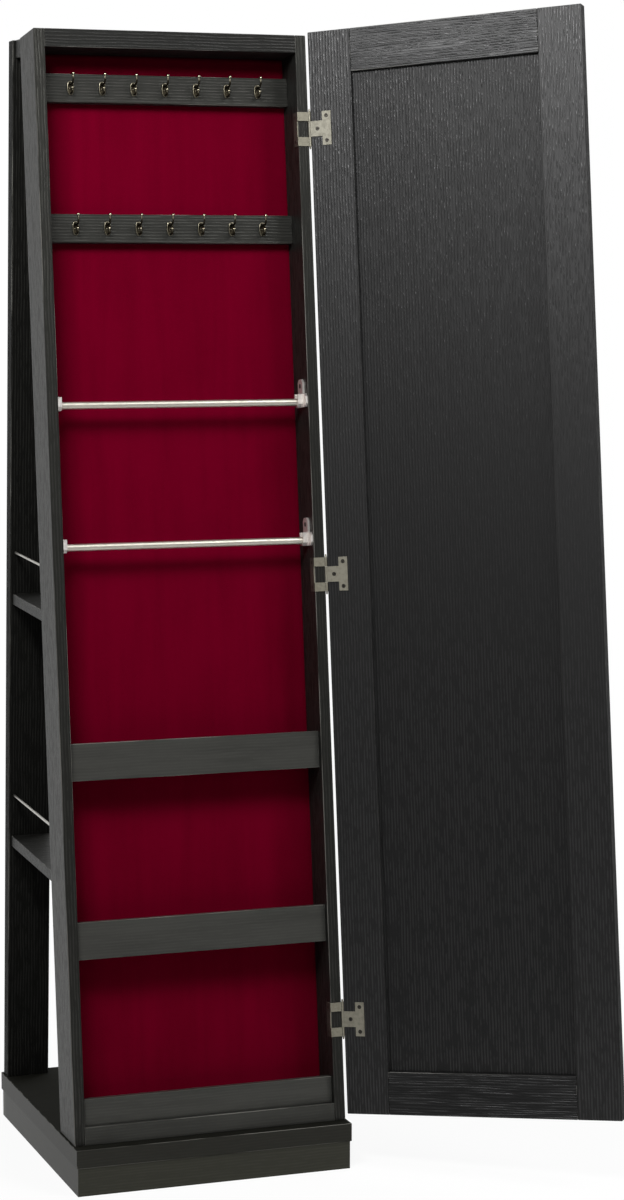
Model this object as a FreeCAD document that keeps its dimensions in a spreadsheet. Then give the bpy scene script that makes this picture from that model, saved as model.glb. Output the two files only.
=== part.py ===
"""Leaning jewelry cabinet on a square plinth, with a full-height mirror door and open display shelves behind.

Frame: millimetres, +Z up, +X to the right of a person facing the cabinet, +Y away from them.
The origin is on the floor at the centre of the plinth. The door is stored open.
"""
import FreeCAD
import Part
import os
import re
import Sketcher

V = FreeCAD.Vector

SIZES = {
    # plinth
    "plinth_width": 386,
    "plinth_depth": 406,
    "plinth_height": 63,
    "plinth_board": 25,
    "plinth_overhang": 2,
    "skirt_board": 12,
    "corner_block_leg": 40,
    "corner_block_height": 30,
    # cabinet, measured along and across its own lean
    "cabinet_width": 381,
    "cabinet_length": 1475,
    "cabinet_depth": 71.5,
    "lean": 6.5,
    "front_ledge": 18.2,
    "board": 15,
    "end_board": 24,
    "velvet_thickness": 2.5,
    "edge_ease": 0.7,
    # hook rails and their double hooks
    "hook_rail_height": 38,
    "rail_drop": 28.5,
    "rail_pitch": 187.5,
    "hook_pitch": 44,
    "hook_plate_height": 19,
    "hook_plate_width": 9.4,
    "hook_plate_corner": 2.6,
    "hook_plate_thickness": 2,
    "prong_radius": 1.6,
    "prong_ease": 0.7,
    "prong_tip_radius": 2.3,
    "prong_tip_length": 3.2,
    "long_prong_root": 5,
    "long_prong_reach": 10,
    "long_prong_bend": 6.5,
    "long_prong_rise": 3.3,
    "short_prong_root": -7.4,
    "short_prong_reach": 7,
    "short_prong_bend": 3.6,
    "short_prong_rise": 1.3,
    # scarf rods and the saddles that hold them
    "rod_radius": 5,
    "rod_depth": 23,
    "rod_drop": 497,
    "rod_pitch": 188.7,
    "saddle_plate": 3,
    "saddle_bar_width": 42,
    "saddle_drop": 7,
    "saddle_rise": 11,
    "saddle_tab_width": 18,
    "saddle_tab_rise": 31,
    "saddle_corner": 4.5,
    "saddle_cup_width": 15.6,
    "saddle_cup_length": 9.2,
    "rod_clearance": 0.3,
    # pockets
    "pocket_board": 12,
    "lip_board": 12,
    "lip_setback": 9,
    "lip_height": 49.5,
    "base_lip_height": 35.5,
    "upper_pocket_low": 480,
    "lower_pocket_low": 243.5,
    # rear frame and display shelves, levels above the plinth top
    "rear_ledge": 6,
    "spacer_depth": 37.7,
    "rear_stile_width": 60,
    "rear_stile_thickness": 22,
    "shelf_inset": 3.5,
    "shelf_tilt": 2.2,
    "upper_shelf_top": 697,
    "lower_shelf_top": 350,
    "guard_rise": 58,
    "guard_radius": 1.6,
    "guard_inset": 7.5,
    "guard_socket": 6,
    "socket_clearance": 0.1,
    # door
    "door_thickness": 18,
    "door_gap": 1.4,
    "door_foot": 8,
    "door_head": 4,
    "door_stile": 60,
    "door_rail": 58,
    "door_recess": 7,
    "backing_thickness": 3,
    "mirror_thickness": 4,
    "groove_depth": 9,
    "groove_clearance": 0.3,
    "open_angle": 141,
    # hinges
    "hinge_rise": 129,
    "hinge_drop": 127.5,
    "pin_offset": 1.3,
    "pin_radius": 0.85,
    "pin_clearance": 0.05,
    "pin_cap_radius": 1.6,
    "pin_cap_length": 4,
    "knuckle_radius": 1.75,
    "knuckle_gap": 0.3,
    "leaf_thickness": 1.2,
    "leaf_half_height": 23,
    "leaf_slot_half": 11,
    "wall_leaf_depth": 14,
    "stem_half_height": 10.5,
    "crossbar_near": 16.8,
    "crossbar_far": 29.2,
}

doc = FreeCAD.newDocument("JewelryCabinet")
sheet = doc.addObject("Spreadsheet::Sheet", "Sizes")
for row, (alias, number) in enumerate(SIZES.items(), start=1):
    sheet.set(f"A{row}", alias)
    sheet.set(f"B{row}", str(number))
    sheet.setAlias(f"B{row}", alias)
doc.recompute()

nodes = {}

# Frames, as placement expressions. The cabinet frame stands at the foot of the leaning front plane: x across,
# y into the depth, z along the lean. The door frame turns about the hinge pins, closed at zero.
FLOOR = "placement(vector(0; 0; 0); rotationz(0))"
PLINTH_TOP = "placement(vector(0; 0; plinth_height); rotationz(0))"
CABINET = "placement(vector(0; front_ledge - plinth_depth / 2; plinth_height); rotationx(-lean))"
PIN = "placement(vector(cabinet_width / 2 + pin_offset; -door_gap / 2; 0); rotationz(open_angle))"
DOOR = f"{CABINET} * {PIN}"

# The rear frame stands on the plinth and leans until its head is a spacer's depth behind the cabinet
REAR_HEIGHT = "(cabinet_length * cos(lean) - cabinet_depth * sin(lean))"
STILE_FOOT = "(plinth_depth / 2 - rear_ledge - rear_stile_thickness)"
CABINET_HEAD = f"(front_ledge - plinth_depth / 2 + {REAR_HEIGHT} * tan(lean) + cabinet_depth / cos(lean))"
REAR_SLOPE = f"(({STILE_FOOT} - {CABINET_HEAD} - spacer_depth) / {REAR_HEIGHT})"
REAR_LEAN = f"atan({REAR_SLOPE})"
REAR = f"placement(vector(0; {STILE_FOOT}; plinth_height); rotationx({REAR_LEAN}))"

# Often used lengths
WALL = "(cabinet_width / 2 - board)"
INSIDE = "(cabinet_width - 2 * board)"
VELVET_FACE = "(cabinet_depth - board - velvet_thickness)"
RAIL_FACE = f"({VELVET_FACE} - board)"
SKIRT_X = "(plinth_width / 2 - plinth_overhang)"
SKIRT_Y = "(plinth_depth / 2 - plinth_overhang)"
SKIRT_HEIGHT = "(plinth_height - plinth_board)"
DOOR_FACE = "(-door_gap / 2)"
GROOVE = "(backing_thickness + mirror_thickness)"
GROOVE_FACE = f"({DOOR_FACE} - door_recess - {GROOVE})"

# Levels along the lean: what hangs is set from the head, and the hinges from both ends of the door
UPPER_RAIL = "(cabinet_length - end_board - rail_drop - hook_rail_height)"
RAIL_LOW = {"upper": UPPER_RAIL, "lower": f"({UPPER_RAIL} - rail_pitch)"}
ROD_LEVEL = {"upper": "(cabinet_length - rod_drop)", "lower": "(cabinet_length - rod_drop - rod_pitch)"}
HINGE_LEVEL = {
    "lower": "(door_foot + hinge_rise)",
    "middle": "((door_foot + hinge_rise + cabinet_length - hinge_drop) / 2)",
    "upper": "(cabinet_length - hinge_drop)",
}


def bound(text):
    """Point every size named in an expression at its cell."""
    return re.sub(r"[a-z_]+", lambda word: f"Sizes.{word[0]}" if word[0] in SIZES else word[0], text)


def value(text):
    """Work an expression out now, for a sketch's first guess."""
    result = sheet.evalExpression(bound(text))
    return float(getattr(result, "Value", result))


def at(frame, x="0", y="0", z="0", turn="rotationz(0)"):
    """A place in a frame, with a turn of its own."""
    return f"{frame} * placement(vector({x}; {y}; {z}); {turn})"


def keep(label, piece):
    """Hand a finished piece in under its node name."""
    piece.Label = label
    nodes[label] = piece
    return piece


def primitive(kind, place, **sizes):
    """A Part primitive with bound sizes and a bound place."""
    piece = doc.addObject(f"Part::{kind}", kind.lower())
    for name, text in sizes.items():
        piece.setExpression(name, bound(text))
    piece.setExpression("Placement", bound(place))
    return piece


def box(place, length, width, height):
    return primitive("Box", place, Length=length, Width=width, Height=height)


def cylinder(place, radius, height):
    return primitive("Cylinder", place, Radius=radius, Height=height)


def cone(place, base, top, height):
    return primitive("Cone", place, Radius1=base, Radius2=top, Height=height)


def fuse(pieces):
    joined = doc.addObject("Part::MultiFuse", "joined")
    joined.Shapes = pieces
    return joined


def cut(base, cutters):
    piece = doc.addObject("Part::Cut", "cut")
    piece.Base = base
    piece.Tool = cutters[0] if len(cutters) == 1 else fuse(cutters)
    return piece


def prism(place, plane, corners, length, ease=None, rims=False):
    """A body padded from a polygon bound to the sheet, with all its edges, or its two rims only, eased on request."""
    body = doc.addObject("PartDesign::Body", "body")
    body.setExpression("Placement", bound(place))
    support = next(item for item in body.Origin.OriginFeatures if item.Role == plane)
    outline = body.newObject("Sketcher::SketchObject", "outline")
    outline.AttachmentSupport = [(support, "")]
    outline.MapMode = "FlatFace"
    spots = [V(value(across), value(up), 0) for across, up in corners]
    count = len(spots)
    for index in range(count):
        outline.addGeometry(Part.LineSegment(spots[index], spots[(index + 1) % count]), False)
    for index in range(count):
        outline.addConstraint(Sketcher.Constraint("Coincident", index, 2, (index + 1) % count, 1))
    for index, (across, up) in enumerate(corners):
        for way, text, first in (("DistanceX", across, spots[index].x), ("DistanceY", up, spots[index].y)):
            number = outline.addConstraint(Sketcher.Constraint(way, -1, 1, index, 1, first))
            outline.setExpression(f"Constraints[{number}]", bound(text))
    pad = body.newObject("PartDesign::Pad", "pad")
    pad.Profile = outline
    pad.setExpression("Length", bound(length))
    doc.recompute()
    if ease:
        eased = body.newObject("PartDesign::Chamfer", "eased")
        eased.Base = (pad, [f"Face{count + 1}", f"Face{count + 2}"])
        eased.UseAllEdges = not rims
        eased.setExpression("Size", bound(ease))
        body.Tip = eased
    return body


def plank(place, length, width, height, ease="edge_ease"):
    """A rectangular board with eased edges, standing on its lower corner."""
    corners = [("0", "0"), (length, "0"), (length, width), ("0", width)]
    return prism(place, "XY_Plane", corners, height, ease)


# Plinth: an overhanging top board on mitred skirts, with glue blocks and a bearer under its middle
keep("plinth_top_board", plank(
    at(FLOOR, "-plinth_width / 2", "-plinth_depth / 2", SKIRT_HEIGHT),
    "plinth_width", "plinth_depth", "plinth_board"))
keep("plinth_front_skirt", prism(FLOOR, "XY_Plane", [
    (f"-{SKIRT_X}", f"-{SKIRT_Y}"),
    (SKIRT_X, f"-{SKIRT_Y}"),
    (f"{SKIRT_X} - skirt_board", f"skirt_board - {SKIRT_Y}"),
    (f"skirt_board - {SKIRT_X}", f"skirt_board - {SKIRT_Y}")], SKIRT_HEIGHT))
for side, sign in (("left", "-"), ("right", "")):
    outer = f"{sign}{SKIRT_X}"
    inner = f"{sign}({SKIRT_X} - skirt_board)"
    keep(f"plinth_{side}_skirt", prism(FLOOR, "XY_Plane", [
        (outer, f"-{SKIRT_Y}"),
        (inner, f"skirt_board - {SKIRT_Y}"),
        (inner, f"{SKIRT_Y} - skirt_board"),
        (outer, f"{SKIRT_Y} - skirt_board")], SKIRT_HEIGHT))
keep("plinth_rear_skirt", plank(
    at(FLOOR, f"-{SKIRT_X}", f"{SKIRT_Y} - skirt_board"), f"2 * {SKIRT_X}", "skirt_board", SKIRT_HEIGHT, None))
keep("plinth_bearer", plank(
    at(FLOOR, "-board / 2", f"skirt_board - {SKIRT_Y}"),
    "board", f"2 * ({SKIRT_Y} - skirt_board)", SKIRT_HEIGHT, None))
blocks = []
for across in ("-", ""):
    for along in ("-", ""):
        corner_x = f"{across}({SKIRT_X} - skirt_board)"
        corner_y = f"{along}({SKIRT_Y} - skirt_board)"
        blocks.append(prism(at(FLOOR, z=f"{SKIRT_HEIGHT} - corner_block_height"), "XY_Plane", [
            (corner_x, corner_y),
            (f"{across}({SKIRT_X} - skirt_board - corner_block_leg)", corner_y),
            (corner_x, f"{along}({SKIRT_Y} - skirt_board - corner_block_leg)")], "corner_block_height"))
keep("plinth_corner_blocks", fuse(blocks))


# Display shelves and guard rods rise a little from the cabinet to the rear stiles
def back_plane(level):
    """Where the cabinet's rear face is, at a level above the plinth top."""
    return f"(front_ledge - plinth_depth / 2 + ({level}) * tan(lean) + cabinet_depth / cos(lean))"


def stile_plane(level):
    """Where the rear stiles' front faces are, at a level above the plinth top."""
    return f"({STILE_FOOT} - ({level}) * {REAR_SLOPE})"


def fall(level):
    """How far a tilted board drops from its middle to the cabinet."""
    return f"(({stile_plane(level)} - {back_plane(level)}) * tan(shelf_tilt) / 2)"


def cross_board(label, top, thickness, drop="0"):
    """A board across the rear frame, with its long edges bevelled to both leaning planes."""
    front = f"({top} - {drop})"
    rear = f"({top} + {drop})"
    keep(label, prism(
        at(PLINTH_TOP, "shelf_inset - cabinet_width / 2"), "YZ_Plane", [
            (back_plane(f"{front} - {thickness}"), f"{front} - {thickness}"),
            (stile_plane(f"{rear} - {thickness}"), f"{rear} - {thickness}"),
            (stile_plane(rear), rear),
            (back_plane(front), front)], "cabinet_width - 2 * shelf_inset", "edge_ease"))


cross_board("top_spacer", REAR_HEIGHT, "end_board")
guard_sockets = {"left": [], "right": []}
for name in ("upper", "lower"):
    shelf_top = f"{name}_shelf_top"
    cross_board(f"display_shelf_{name}", shelf_top, "board", fall(shelf_top))
    guard_level = f"({shelf_top} + guard_rise)"
    front_level = f"({guard_level} - {fall(guard_level)})"
    front_y = back_plane(front_level)
    reach = f"(({stile_plane(guard_level)} - {back_plane(guard_level)}) / cos(shelf_tilt))"
    for side, sign in (("left", "-"), ("right", "")):
        rod_frame = at(PLINTH_TOP, f"{sign}(cabinet_width / 2 - guard_inset)", front_y, front_level,
                       "rotationx(shelf_tilt - 90)")
        keep(f"guard_rod_{name}_{side}", cylinder(
            at(rod_frame, z="-guard_socket"), "guard_radius", f"{reach} + 2 * guard_socket"))
        guard_sockets[side].append(cylinder(
            at(rod_frame, z="-guard_socket - socket_clearance"), "guard_radius + socket_clearance",
            f"{reach} + 2 * (guard_socket + socket_clearance)"))

# Rear stiles, cut level at the head and the foot
for side, edge in (("left", "-cabinet_width / 2"), ("right", "cabinet_width / 2 - rear_stile_width")):
    stile = prism(at(REAR, edge), "YZ_Plane", [
        ("0", "0"),
        ("rear_stile_thickness", f"-rear_stile_thickness * {REAR_SLOPE}"),
        ("rear_stile_thickness", f"{REAR_HEIGHT} / cos({REAR_LEAN}) - rear_stile_thickness * {REAR_SLOPE}"),
        ("0", f"{REAR_HEIGHT} / cos({REAR_LEAN})")], "rear_stile_width", "edge_ease")
    keep(f"rear_{side}_stile", cut(stile, guard_sockets[side]))

# Scarf rods in open saddles. A saddle's frame is on the rod's axis at the wall, with x pointing into the cabinet.
CUP_INSIDE = "(rod_radius + rod_clearance)"


def rod_saddle(frame):
    """A wall plate with a tab above and cut corners, and a cup that is open at the top."""
    bar = "(saddle_bar_width / 2)"
    tab = "(saddle_tab_width / 2)"
    cup = "(saddle_cup_width / 2)"
    half = [
        (f"{cup} - saddle_corner", "-saddle_drop"),
        (f"{bar} - saddle_corner", "-saddle_drop"),
        (bar, "saddle_corner - saddle_drop"),
        (bar, "saddle_rise - saddle_corner"),
        (f"{bar} - saddle_corner", "saddle_rise"),
        (tab, "saddle_rise"),
        (tab, "saddle_tab_rise - saddle_corner"),
        (f"{tab} - saddle_corner", "saddle_tab_rise"),
    ]
    other_half = [(f"-({across})", up) for across, up in reversed(half)]
    plate = prism(frame, "YZ_Plane", half + other_half, "saddle_plate")
    block = prism(frame, "YZ_Plane", [
        (f"saddle_corner - {cup}", "-saddle_drop"),
        (f"{cup} - saddle_corner", "-saddle_drop"),
        (cup, "saddle_corner - saddle_drop"),
        (cup, "saddle_rise"),
        (f"-{cup}", "saddle_rise"),
        (f"-{cup}", "saddle_corner - saddle_drop")], "saddle_cup_length")
    seat = cylinder(at(frame, "saddle_plate", turn="rotationy(90)"), CUP_INSIDE, "saddle_cup_length")
    mouth = box(at(frame, "saddle_plate", f"-{CUP_INSIDE}"),
                "saddle_cup_length", f"2 * {CUP_INSIDE}", "2 * saddle_rise")
    return cut(fuse([plate, block]), [seat, mouth])


for name, level in ROD_LEVEL.items():
    rod_half = f"({WALL} - saddle_plate - rod_clearance)"
    keep(f"scarf_rod_{name}", cylinder(
        at(CABINET, f"-{rod_half}", "rod_depth", level, "rotationy(90)"), "rod_radius", f"2 * {rod_half}"))
    for side, wall, turn in (("left", f"-{WALL}", "rotationz(0)"), ("right", WALL, "rotationz(180)")):
        keep(f"rod_saddle_{name}_{side}", rod_saddle(at(CABINET, wall, "rod_depth", level, turn)))

# Hinges: each wall leaf lies on the inside of the right side, laps over its front edge with two tabs and ends in
# two knuckles. Each door leaf is a tee whose stem nests between those tabs when the door is shut.
PIN_X = "(cabinet_width / 2 + pin_offset)"


def pin_bore(frame, x, y, level):
    return cylinder(at(frame, x, y, f"{level} - leaf_half_height"), "pin_radius + pin_clearance", "2 * leaf_half_height")


def wall_leaf(level):
    inner = f"({WALL} - leaf_thickness)"
    tab = "(leaf_half_height - leaf_slot_half)"
    solids = [box(at(CABINET, inner, "-leaf_thickness", f"{level} - leaf_half_height"),
                  "leaf_thickness", "leaf_thickness + wall_leaf_depth", "2 * leaf_half_height")]
    for low in (f"{level} - leaf_half_height", f"{level} + leaf_slot_half"):
        solids.append(box(at(CABINET, inner, "-leaf_thickness", low), f"{PIN_X} - {inner}", "leaf_thickness", tab))
        solids.append(cylinder(at(CABINET, PIN_X, DOOR_FACE, low), "knuckle_radius", tab))
    stem_notch = box(at(CABINET, inner, "-leaf_thickness", f"{level} - leaf_slot_half"),
                     "leaf_thickness", f"2 * leaf_thickness + {DOOR_FACE} + knuckle_gap", "2 * leaf_slot_half")
    return cut(fuse(solids), [pin_bore(CABINET, PIN_X, DOOR_FACE, level), stem_notch])


def door_leaf(level):
    knuckle = "(leaf_slot_half - knuckle_gap)"
    solids = [
        box(at(DOOR, "-pin_offset - crossbar_near", DOOR_FACE, f"{level} - stem_half_height"),
            "crossbar_near + pin_offset", "leaf_thickness", "2 * stem_half_height"),
        box(at(DOOR, "-pin_offset - crossbar_far", DOOR_FACE, f"{level} - leaf_half_height"),
            "crossbar_far - crossbar_near", "leaf_thickness", "2 * leaf_half_height"),
        cylinder(at(DOOR, z=f"{level} - {knuckle}"), "knuckle_radius", f"2 * {knuckle}"),
    ]
    return cut(fuse(solids), [pin_bore(DOOR, "0", "0", level)])


def hinge_pin(level):
    """A pin with a tapered cap at each end, clear of the knuckles by the knuckle gap."""
    reach = "(leaf_half_height + knuckle_gap)"
    solids = [cylinder(at(CABINET, PIN_X, DOOR_FACE, f"{level} - {reach}"), "pin_radius", f"2 * {reach}")]
    for end, turn in ((f"{level} + {reach}", "rotationx(0)"), (f"{level} - {reach}", "rotationx(180)")):
        solids.append(cone(at(CABINET, PIN_X, DOOR_FACE, end, turn), "pin_cap_radius", "pin_radius", "pin_cap_length"))
    return fuse(solids)


for name, level in HINGE_LEVEL.items():
    keep(f"hinge_{name}_wall_leaf", wall_leaf(level))
    keep(f"hinge_{name}_door_leaf", door_leaf(level))
    keep(f"hinge_{name}_pin", hinge_pin(level))

# Cabinet carcass: the sides and the bottom are cut level to stand on the plinth
for side, edge in (("left", "-cabinet_width / 2"), ("right", WALL)):
    panel = prism(at(CABINET, edge), "YZ_Plane", [
        ("0", "0"),
        ("cabinet_depth", "cabinet_depth * tan(lean)"),
        ("cabinet_depth", "cabinet_length"),
        ("0", "cabinet_length")], "board", "edge_ease")
    keep(f"cabinet_{side}_side", cut(panel, guard_sockets[side]))
keep("cabinet_bottom_panel", prism(at(CABINET, f"-{WALL}"), "YZ_Plane", [
    ("0", "0"),
    ("cabinet_depth", "cabinet_depth * tan(lean)"),
    ("cabinet_depth", "end_board"),
    ("0", "end_board")], INSIDE, "edge_ease"))
keep("cabinet_top_panel", plank(
    at(CABINET, f"-{WALL}", "0", "cabinet_length - end_board"), INSIDE, "cabinet_depth", "end_board"))
INNER_LENGTH = "(cabinet_length - 2 * end_board)"
keep("cabinet_back_panel", plank(
    at(CABINET, f"-{WALL}", "cabinet_depth - board", "end_board"), INSIDE, "board", INNER_LENGTH, None))
keep("velvet_lining", plank(
    at(CABINET, f"-{WALL}", VELVET_FACE, "end_board"), INSIDE, "velvet_thickness", INNER_LENGTH, None))

# Hook rails with a row of double hooks on each. A hook's frame is on the rail's face: x outward, y up.
HOOK_COUNT = 7


def prong(frame, root, reach, bend, rise):
    """A stout prong with eased edges: straight out of the plate, bent upward in two steps, with a thicker tip."""
    crown = f"({root} + {bend})"
    tip = f"({crown} + {rise})"
    outer = f"({bend} + prong_radius)"
    inner = f"({bend} - prong_radius)"
    arm = prism(at(frame, z="-prong_radius"), "XY_Plane", [
        ("0", f"{root} - prong_radius"),
        (reach, f"{root} - prong_radius"),
        (f"{reach} + {outer} * sin(45)", f"{crown} - {outer} * cos(45)"),
        (f"{reach} + {outer}", crown),
        (f"{reach} + {outer}", tip),
        (f"{reach} + {inner}", tip),
        (f"{reach} + {inner}", crown),
        (f"{reach} + {inner} * sin(45)", f"{crown} - {inner} * cos(45)"),
        (reach, f"{root} + prong_radius"),
        ("0", f"{root} + prong_radius")], "2 * prong_radius", "prong_ease", True)
    flat = "prong_tip_radius"
    side = "prong_tip_radius * tan(22.5)"
    knob = prism(at(frame, f"{reach} + {bend}", tip, turn="rotationx(-90)"), "XY_Plane", [
        (flat, f"-{side}"),
        (flat, side),
        (side, flat),
        (f"-{side}", flat),
        (f"-{flat}", side),
        (f"-{flat}", f"-{side}"),
        (f"-{side}", f"-{flat}"),
        (side, f"-{flat}")], "prong_tip_length")
    return [arm, knob]


def double_hook(frame):
    """A plate with cut corners that carries a long prong above a short one."""
    wide = "(hook_plate_width / 2)"
    high = "(hook_plate_height / 2)"
    plate = prism(frame, "YZ_Plane", [
        (f"hook_plate_corner - {high}", f"-{wide}"),
        (f"{high} - hook_plate_corner", f"-{wide}"),
        (high, f"hook_plate_corner - {wide}"),
        (high, f"{wide} - hook_plate_corner"),
        (f"{high} - hook_plate_corner", wide),
        (f"hook_plate_corner - {high}", wide),
        (f"-{high}", f"{wide} - hook_plate_corner"),
        (f"-{high}", f"hook_plate_corner - {wide}")], "hook_plate_thickness")
    long_prong = prong(frame, "long_prong_root", "long_prong_reach", "long_prong_bend", "long_prong_rise")
    short_prong = prong(frame, "short_prong_root", "short_prong_reach", "short_prong_bend", "short_prong_rise")
    return fuse([plate] + long_prong + short_prong)


pattern = double_hook(FLOOR)
for name, low in RAIL_LOW.items():
    keep(f"hook_rail_{name}", plank(
        at(CABINET, f"-{WALL}", RAIL_FACE, low), INSIDE, "board", "hook_rail_height"))
    hooks = []
    for index in range(HOOK_COUNT):
        step = index - (HOOK_COUNT - 1) / 2
        spot = at(CABINET, f"({step}) * hook_pitch", RAIL_FACE, f"{low} + hook_rail_height / 2", "rotationz(-90)")
        hook = doc.addObject("App::Link", "hook")
        hook.LinkedObject = pattern
        hook.setExpression("Placement", bound(at(spot, turn="rotationx(90)")))
        hooks.append(hook)
    keep(f"hooks_{name}", fuse(hooks))

# Pockets: a floor board behind a tall front lip, and a lip of its own on the bottom panel
for name in ("upper", "lower"):
    low = f"{name}_pocket_low"
    keep(f"pocket_floor_{name}", plank(
        at(CABINET, f"-{WALL}", "lip_setback + lip_board", low),
        INSIDE, f"{VELVET_FACE} - lip_setback - lip_board", "pocket_board", None))
    keep(f"pocket_lip_{name}", plank(
        at(CABINET, f"-{WALL}", "lip_setback", low), INSIDE, "lip_board", "lip_height"))
keep("pocket_lip_base", plank(
    at(CABINET, f"-{WALL}", "lip_setback", "end_board"), INSIDE, "lip_board", "base_lip_height"))

# Door: grooved stiles and tongued rails hold a backing board and the mirror. The mirror faces out when it is shut.
DOOR_TOP = "(cabinet_length + door_head)"
DOOR_LENGTH = f"({DOOR_TOP} - door_foot)"
OPENING = "(cabinet_width - 2 * door_stile)"
FAR_STILE = "(-pin_offset - cabinet_width)"
DOOR_BACK = f"({DOOR_FACE} - door_thickness)"
for name, edge, groove in (("hinge", "-pin_offset - door_stile", "-pin_offset - door_stile"),
                           ("free", FAR_STILE, f"{FAR_STILE} + door_stile - groove_depth")):
    stile = plank(at(DOOR, edge, DOOR_BACK, "door_foot"), "door_stile", "door_thickness", DOOR_LENGTH)
    slot = box(at(DOOR, groove, GROOVE_FACE, "door_foot"), "groove_depth", GROOVE, DOOR_LENGTH)
    keep(f"door_{name}_stile", cut(stile, [slot]))
TONGUE = "(groove_depth - groove_clearance)"
for name, low, groove in (("bottom", "door_foot", "door_foot + door_rail - groove_depth"),
                          ("top", f"{DOOR_TOP} - door_rail", f"{DOOR_TOP} - door_rail")):
    rail = plank(at(DOOR, f"{FAR_STILE} + door_stile", DOOR_BACK, low), OPENING, "door_thickness", "door_rail")
    tongue = box(at(DOOR, f"{FAR_STILE} + door_stile - {TONGUE}", GROOVE_FACE, low),
                 f"{OPENING} + 2 * {TONGUE}", GROOVE, "door_rail")
    slot = box(at(DOOR, f"{FAR_STILE}", GROOVE_FACE, groove), "cabinet_width", GROOVE, "groove_depth")
    keep(f"door_{name}_rail", cut(fuse([rail, tongue]), [slot]))
sheet_x = f"{FAR_STILE} + door_stile - {TONGUE}"
sheet_low = f"door_foot + door_rail - {TONGUE}"
sheet_size = (f"{OPENING} + 2 * {TONGUE}", f"{DOOR_LENGTH} - 2 * door_rail + 2 * {TONGUE}")
keep("door_mirror", plank(
    at(DOOR, sheet_x, GROOVE_FACE, sheet_low), sheet_size[0], "mirror_thickness", sheet_size[1], None))
keep("door_backing", plank(
    at(DOOR, sheet_x, f"{GROOVE_FACE} + mirror_thickness", sheet_low),
    sheet_size[0], "backing_thickness", sheet_size[1], None))

doc.recompute()
failed = [item.Name for item in doc.Objects if "Invalid" in item.State or "Error" in item.State]
if failed:
    raise RuntimeError(f"objects that did not build: {failed}")
for label, piece in nodes.items():
    if piece.Shape.isNull() or not piece.Shape.isValid():
        raise RuntimeError(f"the shape of {label} is not valid")

os.makedirs("parts", exist_ok=True)
for label, piece in nodes.items():
    piece.Shape.exportStep(f"parts/{label}.step")
print(f"{len(nodes)} sub-parts written")
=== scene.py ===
"""Looks of a leaning jewelry cabinet with its mirror door open.

The boards, rods and hinges keep their solid shapes and get their finishes here. The velvet lining, the round
double hooks and the screw heads are surfaces worked out on grids of two parameters.
"""

import logging
import math
from abc import ABC, abstractmethod
from dataclasses import dataclass, field, replace
from enum import Enum
from functools import cache
from typing import Any, ClassVar, Iterable, Optional

import bmesh
import bpy
import numpy as np
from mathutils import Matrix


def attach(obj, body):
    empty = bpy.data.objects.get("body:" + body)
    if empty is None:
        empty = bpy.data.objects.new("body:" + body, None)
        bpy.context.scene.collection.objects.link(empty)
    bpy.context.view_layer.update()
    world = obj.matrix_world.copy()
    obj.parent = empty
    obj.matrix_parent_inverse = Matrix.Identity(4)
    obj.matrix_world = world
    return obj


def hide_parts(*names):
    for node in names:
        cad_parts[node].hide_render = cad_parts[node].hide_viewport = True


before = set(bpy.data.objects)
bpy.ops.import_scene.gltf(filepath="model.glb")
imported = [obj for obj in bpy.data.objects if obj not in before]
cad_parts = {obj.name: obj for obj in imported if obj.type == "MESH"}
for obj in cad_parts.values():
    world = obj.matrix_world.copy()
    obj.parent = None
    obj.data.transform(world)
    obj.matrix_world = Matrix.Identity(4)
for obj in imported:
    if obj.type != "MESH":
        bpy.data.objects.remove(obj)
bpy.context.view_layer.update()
LOG = logging.getLogger("jewelry_cabinet")
Vec = tuple[float, float, float]
Span = tuple[float, float]
Colour = tuple[float, float, float, float]
Socket = bpy.types.NodeSocket
MM = 0.001

# Driving sizes in millimetres
CASE_WIDTH = 381.0
PLINTH_DEPTH = 406.0
PLINTH_HEIGHT = 63.0
SETBACK = 18.2
PIN_OUT = 1.3
PIN_AHEAD = 0.7

# Angles, and the turns that bring a board's own axes upright
LEAN = math.radians(6.5)
OPEN = math.radians(141.0)
REAR_LEAN = math.radians(3.3)
UPRIGHT_TURN: Vec = (LEAN, 0.0, 0.0)
DOOR_TURN: Vec = (LEAN, 0.0, -OPEN)
REAR_TURN: Vec = (-REAR_LEAN, 0.0, 0.0)

# Lengths in metres below which points merge and edges are dropped
MERGE_DISTANCE = 1e-6
SLIVER_LENGTH = 1e-7

# Spans of a value: all of it, and the part where most of a noise lies
WHOLE: Span = (0.0, 1.0)
MIDDLE: Span = (0.3, 0.7)


class Body(Enum):
    """The two bodies that pieces ride on."""

    CABINET = "cabinet"
    DOOR = "door"


class GrainWay(Enum):
    """The axis of a board's own frame that its grain runs along."""

    X = 0
    Y = 1
    Z = 2


@dataclass(frozen=True)
class Seat:
    """A place on the object: an origin and three axes as rows, in the object's frame and in metres."""

    origin: np.ndarray
    axes: np.ndarray

    def place(self, points: np.ndarray) -> np.ndarray:
        """Points in this seat's own axes, carried to the object's frame."""
        return self.origin + points @ self.axes

    def moved(self, x: float, y: float, z: float) -> "Seat":
        """The seat shifted along its own axes."""
        return Seat(self.place(np.array([x, y, z])), self.axes)

    def facing(self, rows: Iterable[Vec]) -> "Seat":
        """The seat with new axes, given as rows in its own axes."""
        return Seat(self.origin, np.array(list(rows), float) @ self.axes)

    def turned(self, angle: float) -> "Seat":
        """The seat turned about its own third axis."""
        c, s = math.cos(angle), math.sin(angle)
        return self.facing([(c, s, 0), (-s, c, 0), (0, 0, 1)])


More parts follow.
